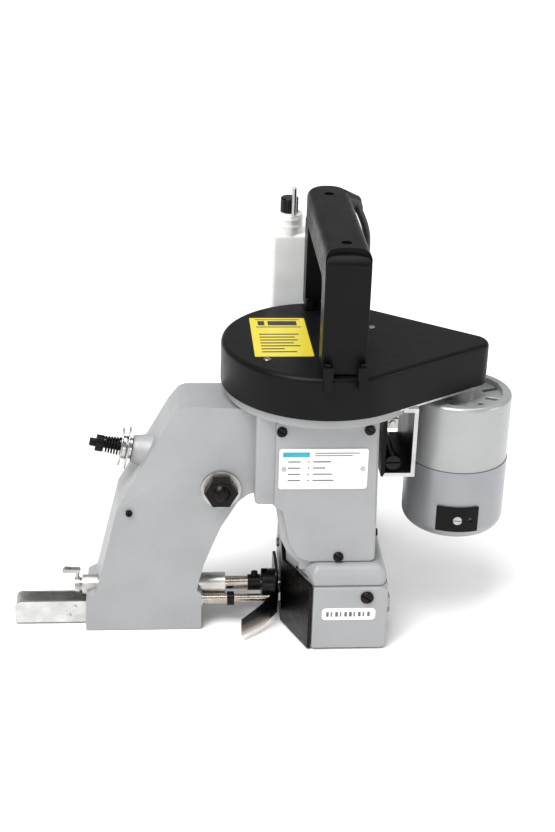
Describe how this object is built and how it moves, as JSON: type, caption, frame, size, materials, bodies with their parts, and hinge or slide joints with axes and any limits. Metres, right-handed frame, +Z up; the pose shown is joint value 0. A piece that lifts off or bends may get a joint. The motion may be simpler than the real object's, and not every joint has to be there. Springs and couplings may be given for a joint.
{
  "type": "bag closer sewing machine",
  "caption": "Handheld electric machine that sews bag mouths shut: two-column frame with needle bar and looper, belt cover, side motor, grip, oil bottle and cord.",
  "frame": {"origin": "bottom centre of the machine's box, cord left out, on the surface it stands on", "axes": "+X along the machine towards the motor, +Y to the back, +Z up along the main shaft"},
  "size_m": [0.3592, 0.2766, 0.304],
  "materials": {
    "casting_paint": "satin silver-grey paint on cast aluminium",
    "motor_paint_upper": "satin warm silver paint",
    "motor_paint_lower": "satin blue-grey paint",
    "black_plastic": "satin moulded black",
    "gloss_black": "glossy moulded black",
    "bottle_plastic": "translucent white polyethylene",
    "bar_steel": "ground and oiled, warm tint",
    "bright_steel": "polished",
    "zinc_steel": "zinc plated",
    "black_steel": "black oxide",
    "bronze": "sintered bronze",
    "lever_aluminium": "satin",
    "bracket_aluminium": "cast, satin",
    "belt_rubber": "matt",
    "cord_rubber": "satin",
    "label_yellow": "printed film",
    "label_white": "printed film",
    "plate_white": "satin enamel",
    "switch_plastic": "satin",
    "iron_core": "varnished laminations and windings"
  },
  "bodies": {
    "root": {"frame_casting": "casting_paint", "column_cover": "casting_paint", "looper_block": "casting_paint", "looper_cover": "casting_paint", "belt_cover": "black_plastic", "motor_bracket": "bracket_aluminium", "motor_upper_housing": "motor_paint_upper", "motor_lower_housing": "motor_paint_lower", "brush_covers": "black_plastic", "motor_stator": "iron_core", "drive_belt": "belt_rubber", "ball_bearings": "bright_steel", "bar_bushings": "bronze", "name_plate": "plate_white", "serial_label": "label_white", "warning_label": "label_yellow", "throat_plate": "black_steel", "handle_body": "black_plastic", "handle_top_cover": "black_plastic", "trigger_spring": "zinc_steel", "power_switch": "switch_plastic", "oil_bottle": "bottle_plastic", "bottle_bracket": "zinc_steel", "hinge_pins": "bright_steel", "pivot_bolt": "black_steel", "pivot_nut": "black_steel", "tension_stud": "bright_steel", "tension_discs": "bright_steel", "tension_spring": "bright_steel", "thread_guides": "black_steel", "slotted_screws": "black_steel", "small_screws": "zinc_steel", "handle_screws": "black_steel", "frame_bolts": "zinc_steel", "power_cord": "cord_rubber", "cord_coil": "cord_rubber", "cord_boot": "cord_rubber", "power_plug": "cord_rubber"},
    "main_shaft": {"main_shaft": "bright_steel", "shaft_eccentrics": "zinc_steel", "main_pulley": "zinc_steel"},
    "motor_armature": {"motor_armature": "iron_core", "motor_pulley": "zinc_steel"},
    "needle_lever": {"needle_lever": "zinc_steel"},
    "needle_link": {"needle_link": "zinc_steel"},
    "needle_bar": {"needle_bar": "bar_steel", "needle_clamp": "black_steel", "needle": "bright_steel", "thread_pull_off": "black_steel"},
    "looper": {"looper": "bright_steel"},
    "feed_dog": {"feed_dog": "bright_steel"},
    "presser_bar": {"presser_bar": "bar_steel", "presser_collars": "black_steel", "presser_foot": "black_steel", "presser_spring": "zinc_steel"},
    "lifting_lever": {"lifting_lever": "lever_aluminium"},
    "trigger": {"trigger": "switch_plastic"},
    "tension_nut": {"tension_nut": "bright_steel"},
    "oil_pump_pin": {"oil_pump_pin": "bright_steel"},
    "oil_cap": {"oil_cap": "gloss_black"}
  },
  "joints": [
    {"name": "main_shaft_spin", "type": "hinge", "parent": "root", "child": "main_shaft", "pos_m": [0.0419, -0.01435, 0.198], "axis": [0, 0, 1], "continuous": true},
    {"name": "motor_spin", "type": "hinge", "parent": "root", "child": "motor_armature", "pos_m": [0.1426, -0.01685, 0.198], "axis": [0, 0, 1], "continuous": true},
    {"name": "needle_rocker", "type": "hinge", "parent": "root", "child": "needle_lever", "pos_m": [-0.0301, -0.02035, 0.1165], "axis": [0, 1, 0], "range_deg": [0, 7.9]},
    {"name": "link_hinge", "type": "hinge", "parent": "needle_lever", "child": "needle_link", "pos_m": [-0.0341, -0.01535, 0.15], "axis": [0, 1, 0], "range_deg": [-8, 0]},
    {"name": "needle_slide", "type": "slide", "parent": "root", "child": "needle_bar", "axis": [1, 0, 0], "range_m": [-0.0165, 0]},
    {"name": "looper_rock", "type": "hinge", "parent": "root", "child": "looper", "pos_m": [0.0619, -0.05235, 0.034], "axis": [0, 0, 1], "range_deg": [0, 6.5]},
    {"name": "feed_slide", "type": "slide", "parent": "root", "child": "feed_dog", "axis": [0, 1, 0], "range_m": [0, 0.0014]},
    {"name": "lever_lift", "type": "hinge", "parent": "root", "child": "lifting_lever", "pos_m": [-0.1166, -0.02935, 0.0095], "axis": [0, 1, 0], "range_deg": [0, 15], "stiffness_Nm_per_rad": 0.15, "springref_deg": -5.73},
    {"name": "presser_slide", "type": "slide", "parent": "root", "child": "presser_bar", "axis": [1, 0, 0], "range_m": [-0.0051, 0]},
    {"name": "trigger_press", "type": "hinge", "parent": "root", "child": "trigger", "pos_m": [0.04915, 0.03065, 0.2832], "axis": [-1, 0, 0], "range_deg": [0, 3.6], "stiffness_Nm_per_rad": 0.5, "springref_deg": -5.73, "deforming": ["trigger_spring"]},
    {"name": "tension_nut_turn", "type": "hinge", "parent": "root", "child": "tension_nut", "pos_m": [-0.11551, -0.02435, 0.14161], "axis": [-0.9816, 0, 0.1908], "continuous": true},
    {"name": "oil_pin_press", "type": "slide", "parent": "root", "child": "oil_pump_pin", "axis": [0, 0, 1], "range_m": [-0.007, 0], "stiffness_N_per_m": 120, "springref_m": 0.002},
    {"name": "oil_cap_turn", "type": "hinge", "parent": "root", "child": "oil_cap", "pos_m": [0.0228, 0.07645, 0.285], "axis": [0, 0, 1], "continuous": true}
  ],
  "couplings": [
    {"joint": "motor_spin", "follows": "main_shaft_spin", "ratio": 5.132},
    {"joint": "link_hinge", "follows": "needle_rocker", "ratio": -1},
    {"joint": "needle_slide", "follows": "needle_rocker", "m_per_rad": -0.1185},
    {"joint": "looper_rock", "follows": "needle_rocker", "ratio": 0.8},
    {"joint": "feed_slide", "follows": "needle_rocker", "m_per_rad": 0.009},
    {"joint": "presser_slide", "follows": "lever_lift", "m_per_rad": -0.0191}
  ]
}
